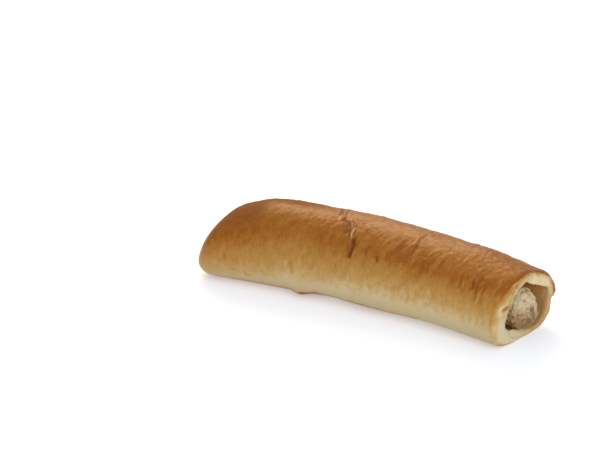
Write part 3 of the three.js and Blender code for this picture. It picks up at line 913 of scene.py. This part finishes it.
def make_sausage():
    nipped, opened = SAUSAGE_ENDS
    turns = np.linspace(0, np.pi / 2, DOME_STEPS)
    dome = SAUSAGE.dome * (1 - cos(turns))
    dome_share = (1 - cos(turns) ** SAUSAGE.roundness) ** (1 / SAUSAGE.roundness)
    body = spread(nipped + SAUSAGE.dome, opened - SAUSAGE.dome, SAUSAGE_SPACING)[1:-1]
    x = np.concatenate([nipped + dome, body, (opened - dome)[::-1]])
    share = np.concatenate([dome_share, np.ones_like(body), dome_share[::-1]])[:, None]
    level = np.concatenate([-cos(turns), np.zeros_like(body), cos(turns)[::-1]])[:, None]
    angle = np.linspace(0, 2 * np.pi, SAUSAGE_ROUND_STEPS, endpoint=False)
    x, angle = np.meshgrid(x, angle, indexing="ij")
    radius = SAUSAGE.radius * SAUSAGE_FIT * share
    relief = meat_relief(spots(x, radius * cos(angle), radius * sin(angle)))
    radius = radius + relief * np.sqrt(1 - level**2)
    rise = radius * sin(angle)
    across = radius * cos(angle)
    slope = SAUSAGE_END_SLOPE.across * across + SAUSAGE_END_SLOPE.upward * rise
    lean = slope * smoothstep(x, opened - SAUSAGE_END_SLOPE.fade, opened)
    points = place(x + relief * level - lean, SAUSAGE.offset + across, SAUSAGE.height + rise)
    meat = make_mesh("sausage_meat", points, closed_lap=False)
    # Painted shade in the pits between the lumps.
    store(meat, "pit_shade", np.clip(0.5 - relief / PIT_DEPTH, 0, 1))
    # Painted shade on the sausage's lower front side, lighter deeper in the channel.
    low = smoothstep(-SHADED_LOW_SIDE.down * rise - SHADED_LOW_SIDE.front * across, *SHADED_LOW_SIDE.heights)
    start, full = LOW_SHADE_DEPTHS
    store(meat, "low", low * lerp(LOW_SHADE_INSIDE, 1, smoothstep(x, opened - start, opened - full)))
    return meat


# ---- materials

class Nodes:
    """Short names for building one material's node tree."""

    def __init__(self, name):
        self.material = bpy.data.materials.new(name)
        self.material.use_nodes = True
        self.tree = self.material.node_tree
        self.shader = self.tree.nodes["Principled BSDF"]

    def new(self, kind, settings=None, **inputs):
        node = self.tree.nodes.new(kind)
        for key, value in (settings or {}).items():
            setattr(node, key, value)
        self.feed_all(node, inputs)
        return node

    def feed(self, socket, value):
        if isinstance(value, bpy.types.NodeSocket):
            self.tree.links.new(value, socket)
        else:
            socket.default_value = value

    def feed_all(self, node, inputs):
        """Feeds a node's sockets by name, with _ for a space."""
        for name, value in inputs.items():
            self.feed(node.inputs[name.replace("_", " ")], value)

    def finish(self, **inputs):
        self.feed_all(self.shader, inputs)
        return self.material

    def attribute(self, name):
        return self.new("ShaderNodeAttribute", {"attribute_name": name}).outputs["Fac"]

    def math(self, operation, a, b, clamp=False):
        node = self.new("ShaderNodeMath", {"operation": operation, "use_clamp": clamp})
        self.feed(node.inputs[0], a)
        self.feed(node.inputs[1], b)
        return node.outputs[0]

    def plus(self, a, b):
        return self.math("ADD", a, b)

    def times(self, a, b):
        return self.math("MULTIPLY", a, b)

    def swing(self, texture, size):
        """A texture's ups and downs about its middle."""
        return self.times(self.math("SUBTRACT", texture, 0.5), size)

    def remap(self, value, low, high, to_low, to_high):
        ends = {"From_Min": low, "From_Max": high, "To_Min": to_low, "To_Max": to_high}
        eased = {"interpolation_type": "SMOOTHSTEP"}
        return self.new("ShaderNodeMapRange", eased, Value=value, **ends).outputs[0]

    def place(self, scale=(1, 1, 1), turn=(0, 0, 0)):
        """Places on the object, in mm, turned and then scaled."""
        source = self.new("ShaderNodeTexCoord").outputs["Object"]
        scale = [part / MM for part in scale]
        return self.new("ShaderNodeMapping", Vector=source, Rotation=turn, Scale=scale).outputs[0]

    def noise(self, place, size, detail):
        return self.new("ShaderNodeTexNoise", Vector=place, Scale=1 / size, Detail=detail).outputs["Fac"]

    def mix(self, factor, a, b):
        node = self.new("ShaderNodeMix", {"data_type": "RGBA", "clamp_factor": True})
        self.feed(node.inputs[0], factor)
        self.feed(node.inputs[6], a)
        self.feed(node.inputs[7], b)
        return node.outputs[2]

    def tint(self, colour, name, share, tone):
        """Covers a colour with a tone where the mesh's number of this name is high."""
        return self.mix(self.times(self.attribute(name), share), colour, tone)

    def ramp(self, value, stops):
        node = self.new("ShaderNodeValToRGB", Fac=value)
        points = node.color_ramp.elements
        while len(points) < len(stops):
            points.new(0.5)
        for point, (position, colour) in zip(points, stops):
            point.position = position
            point.color = (*colour, 1)
        return node.outputs["Color"]

    def bump(self, height, strength, distance):
        node = self.new("ShaderNodeBump", Height=height, Strength=strength, Distance=distance)
        return node.outputs["Normal"]


# Colours from pale dough to dark crust, by how far it is baked.
BAKED = (
    (0.0, (0.6, 0.51, 0.315)),
    (0.09, (0.59, 0.465, 0.255)),
    (0.22, (0.515, 0.335, 0.125)),
    (0.42, (0.45, 0.237, 0.06)),
    (0.64, (0.4, 0.183, 0.035)),
    (0.85, (0.336, 0.112, 0.011)),
    (1.0, (0.276, 0.081, 0.007)),
)
BAKED_BY_BROWNING = 0.85
BAKED_BY_PAINTED_SHADE = 0.5
INNER_WALL = (0.5, 0.3, 0.12, 1)
GAP_BROWN = (0.68, 0.32, 0.095, 1)
PAINTED_SHADE_BROWN = (0.15, 0.045, 0.008, 1)
PAINTED_SHADE_TINT = (0.3, 1, 0, 0.84)  # from the painted shade in a crease, the seam and the gap to its share of the colour
CRACK_AND_GLINT_PALE = (0.86, 0.74, 0.5, 1)
FOOT_SHADE_TAN = (0.42, 0.32, 0.15, 1)
PAINTED_SHADOW_BROWN = (0.17, 0.045, 0.005, 1)

# The crust's mottling: size in mm, detail, and how much it sways the browning. Streaks run round the roll.
MOTTLE = (2.9, 4, 0.32)
STREAKS = (1.7, 4, 0.34)
FLECKS = (0.7, 2, 0.34)
STREAK_SCALE = (1, 0.42, 0.42)
STREAK_TURN = (0.2, 0.1, 0.15)
PALE_IS_EVEN = (0, 0.5, 0.45, 1)  # from the browning to the share of the mottling that shows

CRUST_ROUGHNESS = (0, 1, 0.62, 0.39)  # from the browning to the roughness
MOTTLED_ROUGHNESS = 0.3
DULL_ROUGHNESS = 0.32
CRUST_PORES = Sizes(coarse=1.4, coarse_height=1.6, fine=0.6, strength=0.28, depth=0.3 * MM)


def crust_material():
    nodes = Nodes("crust")
    here = nodes.place()
    upright = nodes.place(STREAK_SCALE, STREAK_TURN)
    browning_here = nodes.attribute("browning")
    layers = [
        (nodes.noise(place, size, detail), sway)
        for place, (size, detail, sway) in ((here, MOTTLE), (upright, STREAKS), (here, FLECKS))
    ]
    # Painted shade in the creases, along the seam and under the upper lip: browner crust, then a dark brown.
    groove = nodes.attribute("groove")
    baked = nodes.times(browning_here, BAKED_BY_BROWNING)
    baked = nodes.plus(baked, nodes.times(groove, BAKED_BY_PAINTED_SHADE))
    unevenness = nodes.remap(browning_here, *PALE_IS_EVEN)
    for texture, sway in layers:
        baked = nodes.plus(baked, nodes.times(nodes.swing(texture, sway), unevenness))
    colour = nodes.ramp(baked, BAKED)
    # Painted shade: the pale dough darkens towards the tray.
    colour = nodes.tint(colour, "foot", 0.85, FOOT_SHADE_TAN)
    # Painted shadow on the nipped end's shoulder and crown, where the crust is also matt.
    colour = nodes.tint(colour, "matt_and_painted_shadow", 0.35, PAINTED_SHADOW_BROWN)
    inside = nodes.attribute("inside")
    colour = nodes.mix(inside, colour, INNER_WALL)
    colour = nodes.mix(nodes.math("SUBTRACT", inside, 1, clamp=True), colour, GAP_BROWN)
    colour = nodes.mix(nodes.remap(groove, *PAINTED_SHADE_TINT), colour, PAINTED_SHADE_BROWN)
    # Pale cracks, a floury patch and painted highlights on the fold ridges and the rim.
    colour = nodes.tint(colour, "crack_and_glint", 0.8, CRACK_AND_GLINT_PALE)
    patchy = nodes.swing(layers[0][0], MOTTLED_ROUGHNESS)
    roughness = nodes.plus(nodes.remap(browning_here, *CRUST_ROUGHNESS), patchy)
    roughness = nodes.plus(roughness, nodes.times(nodes.attribute("matt_and_painted_shadow"), DULL_ROUGHNESS))
    coarse = nodes.times(nodes.noise(here, CRUST_PORES.coarse, 1), CRUST_PORES.coarse_height)
    pores = nodes.plus(nodes.noise(here, CRUST_PORES.fine, 2), coarse)
    return nodes.finish(
        Base_Color=colour,
        Roughness=roughness,
        Specular_IOR_Level=0.35,
        Specular_Tint=(1.0, 0.74, 0.44, 1),
        Normal=nodes.bump(pores, CRUST_PORES.strength, CRUST_PORES.depth),
    )


MEAT_PALE = (0.65, 0.545, 0.335, 1)
MEAT_TAN = (0.54, 0.425, 0.235, 1)
MEAT_PIT_SHADE = (0.17, 0.075, 0.018, 1)
MEAT_LOW_SHADE = (0.19, 0.082, 0.004, 1)
MEAT_CRUMBS_IN_SHADE = (0.09, 0.04, 0.006, 1)
MEAT_GOLD = (0.6, 0.34, 0.09, 1)

# The meat's textures: size in mm, detail, and the range of the noise with the shares that it turns into.
MEAT_FLECKS = (0.9, 3, (0.34, 0.66, 0, 1))
GOLD_SPECKS = (1.2, 1, (0.64, 0.73, 0, 0.7))
CRUMBLED = (1.3, 3, (0.5, 0.66, 0, 0.55))
PIT_SHADE_TINT = (0.44, 0.9, 0, 0.85)
LOW_SHADE_TINT = 0.92
MEAT_GRAIN = Sizes(size=0.5, detail=3, strength=0.5, depth=0.2 * MM)


def meat_material():
    nodes = Nodes("meat")
    here = nodes.place()

    def texture(size, detail, shares):
        return nodes.remap(nodes.noise(here, size, detail), *shares)

    colour = nodes.mix(texture(*MEAT_FLECKS), MEAT_TAN, MEAT_PALE)
    colour = nodes.mix(texture(*GOLD_SPECKS), colour, MEAT_GOLD)
    # Painted shade in the pits between the lumps.
    colour = nodes.mix(nodes.remap(nodes.attribute("pit_shade"), *PIT_SHADE_TINT), colour, MEAT_PIT_SHADE)
    # Painted shade on the lower front side, with dark crumbs in it.
    low = nodes.attribute("low")
    colour = nodes.mix(nodes.times(low, LOW_SHADE_TINT), colour, MEAT_LOW_SHADE)
    colour = nodes.mix(nodes.times(low, texture(*CRUMBLED)), colour, MEAT_CRUMBS_IN_SHADE)
    grain = nodes.noise(here, MEAT_GRAIN.size, MEAT_GRAIN.detail)
    return nodes.finish(
        Base_Color=colour,
        Roughness=0.55,
        Specular_IOR_Level=0.4,
        Normal=nodes.bump(grain, MEAT_GRAIN.strength, MEAT_GRAIN.depth),
    )


# ---- floor, lights and camera, in metres

FLOOR_SIZE = 12.0  # from the middle to each edge
FLOOR_LEVEL = -0.0002

# Each softbox: name, direction, distance, size, power in watts and colour.
SOFTBOXES = (
    ("key", (-0.52, 0.6, 0.63), 0.9, (0.7, 0.52), 4.3, (1, 0.78, 0.46)),
    ("fill", (0.72, -0.6, 0.45), 1.0, (0.8, 0.8), 4.0, (1, 1, 1)),
)
LIGHTS_AIM = Vector((0, 0, 0.02))

# The sky is brighter overhead than near the horizon, as in a light tent.
WORLD_BRIGHTNESS = {"From Min": 0.1, "From Max": 0.9, "To Min": 0.28, "To Max": 0.72}

CAMERA_AZIMUTH = rad(30.712)
CAMERA_ELEVATION = rad(22.0)
CAMERA_DISTANCE = 900.0  # mm
CAMERA_TARGET = np.array([0.0, 0.0, 20.0]) - MIDDLE
PIXELS_PER_MM = 2.091  # at the target
IMAGE_SIZE = (600, 449)
TARGET_PIXEL = (366.943, 263.378)
SENSOR = 36.0


def make_floor():
    corners = ((-1, -1), (1, -1), (1, 1), (-1, 1))
    mesh = bpy.data.meshes.new("floor")
    mesh.from_pydata([(x * FLOOR_SIZE, y * FLOOR_SIZE, FLOOR_LEVEL) for x, y in corners], [], [(0, 1, 2, 3)])
    surface = Nodes("floor").finish(
        Base_Color=(0.84, 0.85, 0.9, 1),
        Roughness=0.9,
        Emission_Color=(0.86, 0.92, 1, 1),
        Emission_Strength=0.37,
    )
    mesh.materials.append(surface)
    floor = add("floor", mesh)


def point_along(thing, direction):
    thing.rotation_euler = Vector(direction).to_track_quat("-Z", "Y").to_euler()


def add_softbox(name, direction, distance, size, power, colour):
    data = bpy.data.lights.new(name, "AREA")
    data.shape = "RECTANGLE"
    data.size, data.size_y = size
    data.energy = power
    data.color = colour
    lamp = add(name, data)
    lamp.location = Vector(direction).normalized() * distance
    point_along(lamp, LIGHTS_AIM - lamp.location)


def light_the_scene():
    scene = bpy.context.scene
    scene.view_settings.view_transform = "Standard"
    world = bpy.data.worlds.new("world")
    world.use_nodes = True
    tree = world.node_tree
    background = tree.nodes["Background"]
    background.inputs["Color"].default_value = (1, 1, 1, 1)
    direction = tree.nodes.new("ShaderNodeTexCoord")
    parts = tree.nodes.new("ShaderNodeSeparateXYZ")
    strength = tree.nodes.new("ShaderNodeMapRange")
    tree.links.new(direction.outputs["Generated"], parts.inputs[0])
    tree.links.new(parts.outputs["Z"], strength.inputs["Value"])
    for name, value in WORLD_BRIGHTNESS.items():
        strength.inputs[name].default_value = value
    tree.links.new(strength.outputs[0], background.inputs["Strength"])
    scene.world = world
    for softbox in SOFTBOXES:
        add_softbox(*softbox)


def make_camera():
    turn, rise = CAMERA_AZIMUTH, CAMERA_ELEVATION
    ahead = np.array([-sin(turn) * cos(rise), cos(turn) * cos(rise), -sin(rise)])
    width, height = IMAGE_SIZE
    data = bpy.data.cameras.new("camera")
    data.sensor_width = SENSOR
    data.lens = PIXELS_PER_MM * CAMERA_DISTANCE * SENSOR / width
    data.shift_x = (width / 2 - TARGET_PIXEL[0]) / width
    data.shift_y = (TARGET_PIXEL[1] - height / 2) / width
    camera = add("camera", data)
    camera.location = (CAMERA_TARGET - ahead * CAMERA_DISTANCE) * MM
    point_along(camera, ahead)
    bpy.context.scene.camera = camera


bread = make_bread()
bread.data.materials.append(crust_material())
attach(bread, "root")
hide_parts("bread")
sausage = make_sausage()
sausage.data.materials.append(meat_material())
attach(sausage, "root")
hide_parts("sausage")
make_floor()
light_the_scene()
make_camera()
